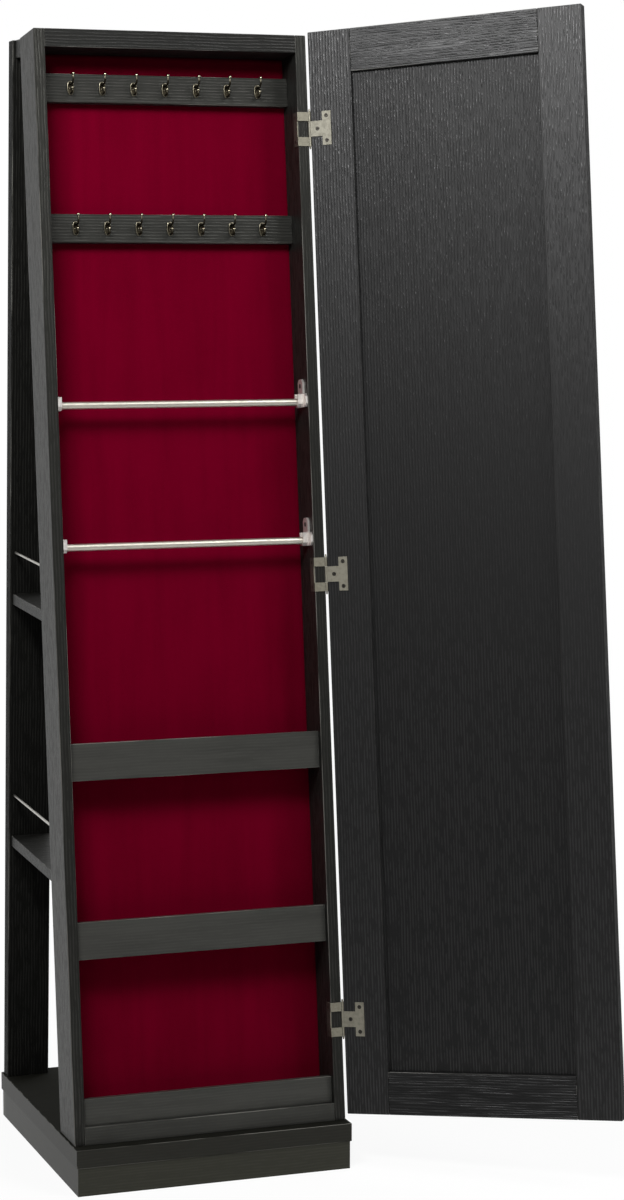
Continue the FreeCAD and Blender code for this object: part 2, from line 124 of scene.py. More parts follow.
def cabinet_seat() -> Seat:
    """The foot of the leaning front plane: x across, y into the depth, z along the lean."""
    c, s = math.cos(LEAN), math.sin(LEAN)
    foot = np.array([0.0, SETBACK - PLINTH_DEPTH / 2, PLINTH_HEIGHT]) * MM
    return Seat(foot, np.array([(1, 0, 0), (0, c, -s), (0, s, c)], float))


def door_seat() -> Seat:
    """The hinge pins' axis, turned with the open door: the door runs along its negative x axis."""
    return cabinet_seat().moved((CASE_WIDTH / 2 + PIN_OUT) * MM, -PIN_AHEAD * MM, 0.0).turned(OPEN)


def inward(side: float) -> list[Vec]:
    """Axes for a screw on the left (-1) or right (1) wall of the case, standing up into the case."""
    return [(0, 1, 0), (0, 0, -side), (-side, 0, 0)]


@dataclass
class Patch:
    """A surface made of quads, with a wear value at each point that its finish may read."""

    points: np.ndarray
    quads: np.ndarray
    wear: np.ndarray

    @classmethod
    def grid(cls, points: np.ndarray, wear: Optional[np.ndarray] = None, wrap: bool = False) -> "Patch":
        """Join a grid of points into quads between neighbouring rows and columns.

        Args:
            points: an array of rows by columns by three.
            wear: rows by columns, or nothing for zero all over.
            wrap: whether the last column joins the first.

        Returns:
            The surface.
        """
        rows, columns = points.shape[:2]
        across = np.arange(columns if wrap else columns - 1)
        row, column = np.meshgrid(np.arange(rows - 1), across, indexing="ij")
        following = (column + 1) % columns
        quads = np.stack([row * columns + column, row * columns + following,
                          (row + 1) * columns + following, (row + 1) * columns + column], axis=-1)
        values = np.zeros((rows, columns)) if wear is None else wear
        return cls(points.reshape(-1, 3), quads.reshape(-1, 4), values.reshape(-1))

    def placed(self, seat: Seat) -> "Patch":
        """The surface carried to a seat."""
        return Patch(seat.place(self.points), self.quads, self.wear)

    def in_metres(self) -> "Patch":
        """The surface brought from millimetres to metres."""
        return Patch(self.points * MM, self.quads, self.wear)

    @staticmethod
    def joined(patches: list["Patch"]) -> "Patch":
        """Join surfaces, with the quads renumbered by a running total of the points before them.

        Args:
            patches: the surfaces.

        Returns:
            All of them as one.
        """
        starts = np.cumsum([0] + [len(patch.points) for patch in patches[:-1]])
        return Patch(np.concatenate([patch.points for patch in patches]),
                     np.concatenate([patch.quads + start for patch, start in zip(patches, starts)]),
                     np.concatenate([patch.wear for patch in patches]))

    def to_object(self, name: str, smooth: bool = True) -> bpy.types.Object:
        """Make a mesh object at the origin, with merged poles and outward faces.

        Args:
            name: the piece's name.
            smooth: whether the faces are shaded smooth.

        Returns:
            The linked object.
        """
        mesh = bpy.data.meshes.new(name)
        mesh.from_pydata(self.points.tolist(), [], self.quads.tolist())
        wear = mesh.attributes.new("wear", "FLOAT", "POINT")
        wear.data.foreach_set("value", self.wear.astype(np.float32))
        work = bmesh.new()
        work.from_mesh(mesh)
        bmesh.ops.remove_doubles(work, verts=work.verts, dist=MERGE_DISTANCE)
        bmesh.ops.dissolve_degenerate(work, edges=work.edges, dist=SLIVER_LENGTH)
        bmesh.ops.recalc_face_normals(work, faces=work.faces)
        work.to_mesh(mesh)
        work.free()
        mesh.polygons.foreach_set("use_smooth", np.full(len(mesh.polygons), smooth))
        mesh.update()
        piece = bpy.data.objects.new(name, mesh)
        bpy.context.scene.collection.objects.link(piece)
        return piece


class ShaderDraft:
    """A node tree under construction, with short calls for the nodes that the finishes share."""

    def __init__(self, tree: bpy.types.NodeTree) -> None:
        """Start from an empty tree."""
        self.tree = tree
        tree.nodes.clear()

    def put(self, socket: Socket, value: Any) -> None:
        """Link a socket to another, or set its plain value.

        Args:
            socket: a node's input.
            value: another node's output, or a number, vector or colour.
        """
        if isinstance(value, Socket):
            self.tree.links.new(value, socket)
        else:
            socket.default_value = value

    def node(self, kind: str, inputs: Optional[dict] = None, **settings: Any) -> bpy.types.Node:
        """Add a node.

        Args:
            kind: the node type's name after ShaderNode.
            inputs: input names or numbers with a value or a socket for each.
            settings: properties of the node.

        Returns:
            The new node.
        """
        made = self.tree.nodes.new(f"ShaderNode{kind}")
        for name, value in settings.items():
            setattr(made, name, value)
        for key, value in (inputs or {}).items():
            self.put(made.inputs[key], value)
        return made

    def coordinates(self, output: str = "Object") -> Socket:
        """One output of the texture coordinates."""
        return self.node("TexCoord").outputs[output]

    def turned(self, vector: Any, angles: Vec) -> Socket:
        """A vector turned about x, then y, then z."""
        inputs = {"Vector": vector, "Rotation": angles}
        return self.node("VectorRotate", inputs, rotation_type="EULER_XYZ").outputs[0]

    def stretched(self, vector: Any, scale: Vec, shift: Vec = (0, 0, 0)) -> Socket:
        """A vector scaled on each axis and then shifted."""
        return self.node("Mapping", {"Vector": vector, "Scale": scale, "Location": shift}).outputs[0]

    def absolute(self, vector: Any) -> Socket:
        """A vector with each of its parts made positive."""
        return self.node("VectorMath", {0: vector}, operation="ABSOLUTE").outputs[0]

    def dot(self, first: Any, second: Any) -> Socket:
        """The dot product of two vectors."""
        return self.node("VectorMath", {0: first, 1: second}, operation="DOT_PRODUCT").outputs["Value"]

    def parts(self, vector: Any) -> list[Socket]:
        """The x, y and z of a vector."""
        return list(self.node("SeparateXYZ", {0: vector}).outputs)

    def noise(self, vector: Any, scale: float = 1.0, detail: float = 3.0, rough: float = 0.5,
              distortion: float = 0.0) -> Socket:
        """Fractal noise from 0 to 1."""
        return self.node("TexNoise", {"Vector": vector, "Scale": scale, "Detail": detail, "Roughness": rough,
                                      "Distortion": distortion}).outputs[0]

    def ranged(self, value: Any, span: Span, low: float = 0.0, high: float = 1.0) -> Socket:
        """A value carried smoothly from a span to the range from low to high, and held at the ends."""
        inputs = {"Value": value, "From Min": span[0], "From Max": span[1], "To Min": low, "To Max": high}
        return self.node("MapRange", inputs, interpolation_type="SMOOTHSTEP").outputs[0]

    def maths(self, operation: str, *values: Any) -> Socket:
        """One arithmetic step on a value or two."""
        return self.node("Math", dict(enumerate(values)), operation=operation).outputs[0]

    def total(self, first: Any, second: Any) -> Socket:
        """Two values added."""
        return self.maths("ADD", first, second)

    def product(self, first: Any, second: Any) -> Socket:
        """Two values multiplied."""
        return self.maths("MULTIPLY", first, second)

    def larger(self, first: Any, second: Any) -> Socket:
        """The larger of two values."""
        return self.maths("MAXIMUM", first, second)

    def mixed(self, factor: Any, first: Any, second: Any) -> Socket:
        """Two colours mixed by a factor."""
        return self.node("Mix", {0: factor, 6: first, 7: second}, data_type="RGBA").outputs[2]

    def relief(self, height: Any, depth: float, strength: float, under: Any = None) -> Socket:
        """A bumped normal.

        Args:
            height: the relief from 0 to 1.
            depth: how deep the full relief is, in metres.
            strength: how much of it shows.
            under: a normal that this one lies on.

        Returns:
            The normal.
        """
        made = self.node("Bump", {"Height": height, "Distance": depth, "Strength": strength})
        if under is not None:
            self.put(made.inputs["Normal"], under)
        return made.outputs[0]

    def surface(self, **inputs: Any) -> None:
        """Finish with one principled surface, whose inputs are named with underscores for spaces."""
        shader = self.node("BsdfPrincipled", {key.replace("_", " "): value for key, value in inputs.items()})
        self.put(self.node("OutputMaterial").inputs[0], shader.outputs[0])


def shade(red: float, green: float, blue: float) -> Colour:
    """A colour with full cover, in linear light."""
    return red, green, blue, 1.0


def grey(level: float) -> Colour:
    """A neutral colour in linear light."""
    return shade(level, level, level)


class Finish(ABC):
    """What a surface is made of. Each finish makes its material once."""

    name: str

    @abstractmethod
    def draw(self, draft: ShaderDraft) -> None:
        """Draw the node tree."""

    @cache
    def material(self) -> bpy.types.Material:
        """Make the finish's material at the first call.

        Returns:
            The one material of this finish.
        """
        made = bpy.data.materials.new(f"{self.name}_finish")
        made.use_nodes = True
        self.draw(ShaderDraft(made.node_tree))
        return made

    def dress(self, *nodes: str) -> None:
        """Give this finish to solid pieces.

        Args:
            nodes: the names of the pieces.
        """
        for node in nodes:
            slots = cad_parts[node].data.materials
            slots.clear()
            slots.append(self.material())
            LOG.info("%s: %s", node, self.name)


@dataclass(frozen=True)
class AshFoil(Finish):
    """Satin black foil embossed with open ash grain. The eased edges get a lighter painted highlight."""

    name: str
    way: GrainWay
    turn: Vec = (0.0, 0.0, 0.0)
    shift: Vec = (0.0, 0.0, 0.0)
    tone: float = 0.002
    streak: float = 0.011
    grooves_per_metre: float = 245.0
    run_per_metre: float = 42.0
    wander: float = 9.0
    figure: float = 0.2
    roughness: float = 0.42
    gloss: float = 0.33
    emboss: float = 0.0007
    # The next two set the painted highlight on eased edges and the painted light on upright faces.
    edge_highlight: float = 0.6
    upright_light: float = 0.0
    dull: Vec = (0.0, 0.0, 0.0)
    tint: Vec = (1.0, 1.0, 0.91)

    BEND_GROOVES: ClassVar[float] = 6.0
    BEND_RUNS: ClassVar[float] = 4.0
    RIDGE: ClassVar[Span] = (-0.6, 1.0)
    DASHES_PER_GROOVE: ClassVar[float] = 0.8
    DASHES: ClassVar[Span] = (0.36, 0.62)
    FAINTEST_DASH: ClassVar[float] = 0.2
    STREAK_GROOVES: ClassVar[float] = 3.0
    STREAK_RUNS: ClassVar[float] = 6.0
    DRIFT: ClassVar[Span] = (16.0, 3.0)
    DRIFT_SHARE: ClassVar[float] = 0.1
    CONTRAST: ClassVar[Span] = (0.16, 0.66)
    # The colour of the painted edge highlight, the slant of an eased edge, the patches it comes in and the
    # faintest patch.
    PAINTED_LIGHT_FOIL: ClassVar[Vec] = (0.16, 0.157, 0.143)
    EASED: ClassVar[Span] = (0.86, 0.95)
    PATCHES: ClassVar[Span] = (0.46, 0.62)
    FAINTEST_LIGHT: ClassVar[float] = 0.05
    SWING_PER_METRE: ClassVar[float] = 150.0
    MOST_SWING: ClassVar[float] = 0.1
    SHINY_SHARE: ClassVar[float] = 0.6

    def scale(self, across: float, along: float) -> Vec:
        """A number for each axis: one for the axis along the grain, the other for the two across it."""
        x, y, z = (along if axis is self.way else across for axis in GrainWay)
        return x, y, z

    def black(self, level: float) -> Colour:
        """A near-black of the given level with the foil's faint tint."""
        red, green, blue = self.tint
        return shade(level * red, level * green, level * blue)

    def fibre(self, draft: ShaderDraft, board: Any, across: float, along: float, **look: float) -> Socket:
        """Noise of so many spots to a metre across the grain and along it."""
        return draft.noise(draft.stretched(board, self.scale(across, along), self.shift), **look)

    def lines(self, draft: ShaderDraft, board: Any) -> Socket:
        """The embossed lines: a sine across the grain, bent by one noise and broken into dashes by another.

        Args:
            draft: the tree to draw in.
            board: coordinates along the board's own axes.

        Returns:
            The height of the lines, from 0 to 1.
        """
        fine, run = self.grooves_per_metre, self.run_per_metre
        across = draft.dot(board, self.scale(1.0, 0.0))
        bend = self.fibre(draft, board, fine / self.BEND_GROOVES, run / self.BEND_RUNS, detail=2.0)
        phase = draft.total(draft.product(across, 2 * math.pi * fine), draft.product(bend, self.wander))
        ridge = draft.ranged(draft.maths("SINE", phase), self.RIDGE)
        dash = self.fibre(draft, board, fine * self.DASHES_PER_GROOVE, run, rough=0.6)
        return draft.product(ridge, draft.ranged(dash, self.DASHES, self.FAINTEST_DASH, 1.0))

    def painted_light_share(self, draft: ShaderDraft, faces: Any, streaks: Any) -> Socket:
        """Where lighter foil is painted: a highlight in patches on eased edges, which slant, and light evenly
        on upright faces.

        Args:
            draft: the tree to draw in.
            faces: the normal along the board's own axes, made positive.
            streaks: the noise that breaks the rubbing into patches.

        Returns:
            The share of painted highlight and painted light, from 0 to 1.
        """
        x, y, z = draft.parts(faces)
        widest = draft.larger(draft.larger(x, y), z)
        edge = draft.ranged(widest, self.EASED, self.edge_highlight, 0.0)
        patches = draft.product(edge, draft.ranged(streaks, self.PATCHES, self.FAINTEST_LIGHT, 1.0))
        return draft.larger(patches, draft.ranged(z, MIDDLE, self.upright_light, 0.0))

    def draw(self, draft: ShaderDraft) -> None:
        """Lines, streaks and a slow drift add up to the grain, which sets the colour and the shine.

        The lines alone make the relief. The faces along each axis can be duller.

        Args:
            draft: the tree to draw in.
        """
        board = draft.turned(draft.coordinates(), self.turn)
        faces = draft.absolute(draft.turned(draft.coordinates("Normal"), self.turn))
        line = self.lines(draft, board)
        streaks = self.fibre(draft, board, self.grooves_per_metre / self.STREAK_GROOVES,
                             self.run_per_metre / self.STREAK_RUNS)
        drift = self.fibre(draft, board, *self.DRIFT, detail=2.0)
        figured = draft.total(draft.product(line, 1.0 - self.DRIFT_SHARE - self.figure),
                              draft.product(streaks, self.figure))
        light = draft.ranged(draft.total(figured, draft.product(drift, self.DRIFT_SHARE)), self.CONTRAST)
        grain = draft.mixed(light, self.black(self.tone), self.black(self.tone + self.streak))
        # Lighter foil is painted as a highlight on eased edges and as light on upright faces.
        colour = draft.mixed(self.painted_light_share(draft, faces, streaks), grain, shade(*self.PAINTED_LIGHT_FOIL))
        swing = min(self.MOST_SWING, self.SWING_PER_METRE * self.emboss)
        shine = draft.ranged(light, WHOLE, self.roughness + swing, self.roughness - swing * self.SHINY_SHARE)
        draft.surface(Base_Color=colour, Roughness=draft.total(shine, draft.dot(faces, self.dull)),
                      Specular_IOR_Level=self.gloss, Specular_Tint=shade(*self.tint),
                      Normal=draft.relief(line, self.emboss, strength=0.5))


@dataclass(frozen=True)
class BareBoard(Finish):
    """Raw fibreboard, only seen from below."""

    name: str = "bare_board"
    dark: Vec = (0.19, 0.13, 0.08)
    light: Vec = (0.38, 0.28, 0.18)

    def draw(self, draft: ShaderDraft) -> None:
        """Fine fibres over a slow drift of brown.

        Args:
            draft: the tree to draw in.
        """
        place = draft.coordinates()
        fibre = draft.noise(place, scale=900.0, detail=5.0, rough=0.7)
        drift = draft.noise(place, scale=14.0, detail=2.0)
        mean = draft.product(draft.total(fibre, drift), 0.5)
        draft.surface(Base_Color=draft.mixed(mean, shade(*self.dark), shade(*self.light)), Roughness=0.85,
                      Normal=draft.relief(fibre, depth=0.0002, strength=0.4))


@dataclass(frozen=True)
class VelvetPile(Finish):
    """Crimson short-pile velvet with brush marks along the height and a soft sheen at the rim."""

    name: str = "crimson_velvet"
    hollow: Vec = (0.062, 0.0001, 0.0050)
    brushed: Vec = (0.087, 0.0002, 0.0074)
    tips: Vec = (0.096, 0.0003, 0.0083)
    sheen: Vec = (0.7, 0.01, 0.10)
    brush_marks: Vec = (42.0, 1.0, 3.0)
    pile_size: Vec = (2400.0, 2400.0, 1300.0)
    nap_span: Span = (0.36, 0.62)

    def draw(self, draft: ShaderDraft) -> None:
        """Long faint brush marks and cloudy patches tint the pile, and a very fine noise roughens it.

        Args:
            draft: the tree to draw in.
        """
        place = draft.turned(draft.coordinates(), UPRIGHT_TURN)
        brush = draft.noise(draft.stretched(place, self.brush_marks), detail=4.0, rough=0.55, distortion=0.4)
        cloud = draft.noise(place, scale=7.0, detail=3.0)
        pile = draft.noise(draft.stretched(place, self.pile_size), detail=2.0, rough=0.7)
        nap = draft.ranged(draft.product(draft.total(brush, cloud), 0.5), self.nap_span)
        deep = draft.mixed(nap, shade(*self.hollow), shade(*self.brushed))
        colour = draft.mixed(draft.ranged(pile, MIDDLE), deep, shade(*self.tips))
        swell = draft.relief(nap, depth=0.0006, strength=0.25)
        draft.surface(Base_Color=colour, Roughness=0.95, Specular_IOR_Level=0.0, Sheen_Weight=0.1,
                      Sheen_Roughness=0.45, Sheen_Tint=shade(*self.sheen),
                      Normal=draft.relief(pile, depth=0.0003, strength=0.35, under=swell))


@dataclass(frozen=True)
class DrawnMetal(Finish):
    """Satin metal with fine draw lines along one axis and a cloudy tarnish."""

    name: str
    bright: Vec
    dull: Vec
    lines: Vec = (30.0, 2500.0, 2500.0)
    roughness: float = 0.3
    tarnish: float = 0.35
    metallic: float = 1.0
    painted_side_shade: float = 0.0

    CLOUDS: ClassVar[tuple[Span, Span]] = ((0.5, 0.25), (0.78, 0.3))
    SIDEWAYS: ClassVar[Span] = (0.6, 0.9)
    SIDE_SHADE_TONE: ClassVar[float] = 0.02
    SMOOTHER: ClassVar[float] = 0.06
    ROUGHER: ClassVar[float] = 0.08
    SPOT_ROUGHNESS: ClassVar[float] = 0.25

    def draw(self, draft: ShaderDraft) -> None:
        """Stretched noise scratches the surface, and a cloudy one dulls it.

        More tarnish lowers both ends of the clouds' span and makes them stronger. Faces along x get painted
        shade.

        Args:
            draft: the tree to draw in.
        """
        place = draft.coordinates()
        scratch = draft.noise(draft.stretched(place, self.lines), detail=3.0, rough=0.6)
        cloud = draft.noise(place, scale=160.0, detail=4.0, rough=0.6)
        low, high = (most - self.tarnish * fall for most, fall in self.CLOUDS)
        spots = draft.ranged(cloud, (low, high), 0.0, self.tarnish)
        metal = draft.mixed(spots, shade(*self.bright), shade(*self.dull))
        sideways = draft.parts(draft.absolute(draft.coordinates("Normal")))[0]
        shaded = draft.ranged(sideways, self.SIDEWAYS, 0.0, self.painted_side_shade)
        drawn = draft.ranged(scratch, MIDDLE, self.roughness - self.SMOOTHER, self.roughness + self.ROUGHER)
        draft.surface(Base_Color=draft.mixed(shaded, metal, grey(self.SIDE_SHADE_TONE)), Metallic=self.metallic,
                      Roughness=draft.total(drawn, draft.product(spots, self.SPOT_ROUGHNESS)),
                      Normal=draft.relief(scratch, depth=0.00003, strength=0.35))


@dataclass(frozen=True)
class RubbedBrass(Finish):
    """Antique brass: brown in the corners and bright where hands and chains rub it."""

    name: str = "antique_brass"
    patina: Vec = (0.020, 0.017, 0.011)
    bright: Vec = (0.34, 0.31, 0.23)
    rub_span: Span = (0.35, 1.15)

    def draw(self, draft: ShaderDraft) -> None:
        """The wear value of the surface, broken up by noise, opens the patina to bright metal.

        Args:
            draft: the tree to draw in.
        """
        wear = draft.node("Attribute", attribute_name="wear").outputs["Fac"]
        mottle = draft.noise(draft.coordinates(), scale=520.0, detail=4.0, rough=0.65)
        rubbed = draft.ranged(draft.total(wear, draft.product(mottle, 0.5)), self.rub_span)
        draft.surface(Base_Color=draft.mixed(rubbed, shade(*self.patina), shade(*self.bright)), Metallic=1.0,
                      Roughness=draft.ranged(rubbed, WHOLE, low=0.45, high=0.2),
                      Normal=draft.relief(mottle, depth=0.00008, strength=0.3))


@dataclass(frozen=True)
class BlackSteel(Finish):
    """Blackened steel screw heads, with a rubbed rim and a dark recess."""

    name: str = "dark_steel"
    black: Vec = (0.012, 0.011, 0.010)
    rubbed: Vec = (0.22, 0.205, 0.17)

    def draw(self, draft: ShaderDraft) -> None:
        """The wear value lightens the rim and darkens the recess.

        Args:
            draft: the tree to draw in.
        """
        wear = draft.node("Attribute", attribute_name="wear").outputs["Fac"]
        grain = draft.noise(draft.coordinates(), scale=900.0, detail=3.0)
        rub = draft.product(wear, draft.ranged(grain, MIDDLE, low=0.6))
        draft.surface(Base_Color=draft.mixed(rub, shade(*self.black), shade(*self.rubbed)), Metallic=0.9,
                      Roughness=draft.ranged(grain, MIDDLE, low=0.32, high=0.5))


@dataclass(frozen=True)
class SilveredGlass(Finish):
    """A silvered mirror with a trace of green, and a faint haze of dust."""

    name: str = "mirror_glass"
    silver: Vec = (0.86, 0.885, 0.87)
    dusty: Vec = (0.80, 0.81, 0.80)
    haze_span: Span = (0.4, 0.8)
    dust: float = 0.25

    def draw(self, draft: ShaderDraft) -> None:
        """A cloudy noise adds a very small haze to an even mirror.

        Args:
            draft: the tree to draw in.
        """
        haze = draft.noise(draft.coordinates(), scale=30.0, detail=5.0, rough=0.6)
        dulled = draft.ranged(haze, self.haze_span, 0.0, self.dust)
        draft.surface(Base_Color=draft.mixed(dulled, shade(*self.silver), shade(*self.dusty)), Metallic=1.0,
                      Roughness=draft.ranged(haze, self.haze_span, low=0.012, high=0.035))


@dataclass
class Plinth:
    """The square base: a top board over mitred skirts, with blocks and a bearer inside."""

    boards: tuple[str, ...] = ("plinth_front_skirt", "plinth_rear_skirt")
    sides: tuple[str, ...] = ("plinth_left_skirt", "plinth_right_skirt")
    hidden: tuple[str, ...] = ("plinth_bearer", "plinth_corner_blocks")

    def dress(self) -> None:
        """Foil with the grain along each board, and bare board inside."""
        skirt = AshFoil("ash_plinth_across", GrainWay.X, shift=(3.1, 0.7, 5.2), tone=0.0105, streak=0.005,
                        emboss=0.00006, tint=(1.0, 1.0, 0.8))
        skirt.dress(*self.boards)
        # The top board's foil is darker than the skirts, with its upright faces painted lighter: painted
        # shade on the top face.
        top = replace(skirt, name="ash_plinth_top", shift=(0.2, 2.7, 1.2), tone=0.002, streak=0.003,
                      gloss=0.12, upright_light=0.075, dull=(0.0, 0.0, 0.56))
        top.dress("plinth_top_board")
        side = replace(skirt, name="ash_plinth_deep", way=GrainWay.Y, shift=(1.4, 2.2, 0.3), tone=0.005,
                       streak=0.003, gloss=0.2)
        side.dress(*self.sides)
        BareBoard().dress(*self.hidden)


@dataclass
class Carcass:
    """The leaning case: two sides, top, bottom, back, pocket boards and hook rails."""

    uprights: tuple[str, ...] = ("cabinet_left_side", "cabinet_right_side", "cabinet_back_panel")
    across: tuple[str, ...] = ("hook_rail_upper", "hook_rail_lower",
                               "pocket_floor_upper", "pocket_floor_lower")
    lips: tuple[str, ...] = ("pocket_lip_upper", "pocket_lip_lower", "pocket_lip_base")

    def dress(self) -> None:
        """Upright grain on the sides and the back, level grain on the rest, smoother on lips and bottom."""
        upright = AshFoil("ash_case_upright", GrainWay.Z, UPRIGHT_TURN, (0.4, 1.9, 2.6), gloss=0.28)
        upright.dress(*self.uprights)
        top = AshFoil("ash_case_top", GrainWay.X, UPRIGHT_TURN, (2.3, 0.2, 1.1), gloss=0.22,
                      tint=(1.0, 1.0, 0.95))
        top.dress("cabinet_top_panel")
        level = AshFoil("ash_case_across", GrainWay.X, UPRIGHT_TURN, (0.8, 2.4, 3.7), tone=0.009,
                        streak=0.010, wander=6.0, gloss=0.28, emboss=0.0005)
        level.dress(*self.across)
        lip = AshFoil("ash_lip", GrainWay.X, UPRIGHT_TURN, (5.3, 1.2, 0.6), tone=0.0195, streak=0.012,
                      figure=0.65, emboss=0.00004)
        lip.dress(*self.lips)
        replace(lip, name="ash_case_bottom", tone=0.0125).dress("cabinet_bottom_panel")


@dataclass
class RearFrame:
    """Two rear stiles, the spacer at the head and two display shelves with guard rods."""

    stiles: tuple[str, ...] = ("rear_left_stile", "rear_right_stile")
    shelves: tuple[str, ...] = ("display_shelf_upper", "display_shelf_lower", "top_spacer")
    rods: tuple[str, ...] = ("guard_rod_upper_left", "guard_rod_upper_right",
                             "guard_rod_lower_left", "guard_rod_lower_right")

    def dress(self) -> None:
        """Upright grain on the stiles, level grain on the shelves and drawn metal on the guard rods."""
        stile = AshFoil("ash_rear_upright", GrainWay.Z, REAR_TURN, (1.7, 0.4, 3.3), tone=0.001, streak=0.006,
                        roughness=0.66, gloss=0.12)
        stile.dress(*self.stiles)
        AshFoil("ash_shelf", GrainWay.X, shift=(0.9, 4.1, 2.0), gloss=0.2).dress(*self.shelves)
        rod = DrawnMetal("guard_nickel", bright=(0.50, 0.485, 0.45), dull=(0.30, 0.285, 0.25),
                         lines=(2500.0, 30.0, 2500.0), roughness=0.34)
        rod.dress(*self.rods)


@dataclass
class VelvetLining:
    """Velvet stretched over the inside of the back, tucked in along its four edges.

    Each wave has its turns per metre across and along, in radians, and its phase.
    """

    width: float = 351.0 * MM
    length: float = 1427.0 * MM
    low: float = 24.0 * MM
    face: float = 54.0 * MM
    thickness: float = 2.2 * MM
    tuck: float = 1.0 * MM
    tuck_reach: float = 3.0 * MM
    swell: float = 0.16 * MM
    waves: tuple[Vec, ...] = ((31.0, 5.0, 0.0), (-9.0, 17.0, 1.3), (57.0, -23.0, 0.4))
    columns: int = 72
    rows: int = 260

    def build(self) -> bpy.types.Object:
        """Make the cloth.

        Its depth is the face, plus a dip that fades with the distance from the nearest edge, plus slow waves
        across and along that stay behind the face.

        Returns:
            The velvet, closed by its own thickness.
        """
        spread = np.sin(np.linspace(-0.5, 0.5, self.columns) * np.pi) / 2 * self.width
        height = np.linspace(0.0, self.length, self.rows)
        u, s = np.meshgrid(spread, height)
        rim = np.minimum(np.minimum(self.width / 2 - np.abs(u), s), self.length - s)
        wave = sum(np.cos(across * u + along * s + phase) for across, along, phase in self.waves)
        swell = self.swell * (1.0 - wave / len(self.waves)) / 2
        depth = self.face + self.tuck * np.exp(-rim / self.tuck_reach) + swell
        points = np.stack([u, depth, s + self.low], axis=-1)
        piece = Patch.grid(cabinet_seat().place(points)).to_object("velvet_cloth")
        if piece.data.polygons[0].normal.y > 0:
            piece.data.flip_normals()
        solid = piece.modifiers.new("thickness", "SOLIDIFY")
        solid.thickness = self.thickness
        solid.offset = -1.0
        return piece

    def dress(self, piece: bpy.types.Object) -> None:
        """Give the cloth its pile and say what it is.

        Args:
            piece: the velvet.
        """
        piece.data.materials.append(VelvetPile().material())
        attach(piece, Body.CABINET.value)
        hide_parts("velvet_lining")
        LOG.info("%s: %d faces", piece.name, len(piece.data.polygons))


@dataclass
class ScrewHead:
    """A low domed screw head with a cross recess, in millimetres, standing up along z."""

    radius: float = 2.9
    dome: float = 0.16
    rim_fall: float = 0.6
    slot: float = 0.55
    recess: float = 0.7
    recess_depth: float = 0.95
    skirt: float = 0.3
    face_wear: float = 0.12
    rim_wear: float = 0.35
    rim_place: float = 0.92
    rim_width: float = 0.08
    rings: int = 16
    around: int = 48

    def build(self) -> Patch:
        """The head: a dome over a disc, less a cross-shaped recess whose two bars fade out towards the rim.

        Returns:
            The head with a short skirt below the surface that it sits on.
        """
        share = np.concatenate([np.linspace(0.0, 1.0, self.rings), [1.0, 0.0]])
        angle = np.linspace(0.0, 2 * np.pi, self.around, endpoint=False)
        r, a = np.meshgrid(share * self.radius, angle, indexing="ij")
        x, y = r * np.cos(a), r * np.sin(a)
        bars = np.maximum(np.exp(-(x / self.slot) ** 4), np.exp(-(y / self.slot) ** 4))
        cross = bars * np.exp(-(r / (self.recess * self.radius)) ** 6)
        z = self.dome * (1.0 - self.rim_fall * (r / self.radius) ** 2) - self.dome * self.recess_depth * cross
        z[-2:] = -self.skirt
        rim = np.exp(-((r / self.radius - self.rim_place) / self.rim_width) ** 2)
        wear = self.face_wear + self.rim_wear * rim - self.face_wear * cross
        wear[-2:] = 0.0
        return Patch.grid(np.stack([x, y, z], axis=-1), np.clip(wear, 0.0, 1.0), wrap=True)


@dataclass(frozen=True)
class Prong:
    """The path of a hook's prong in millimetres: its height on the plate, a run out, a bend and a rise."""

    root: float
    reach: float
    bend: float
    rise: float


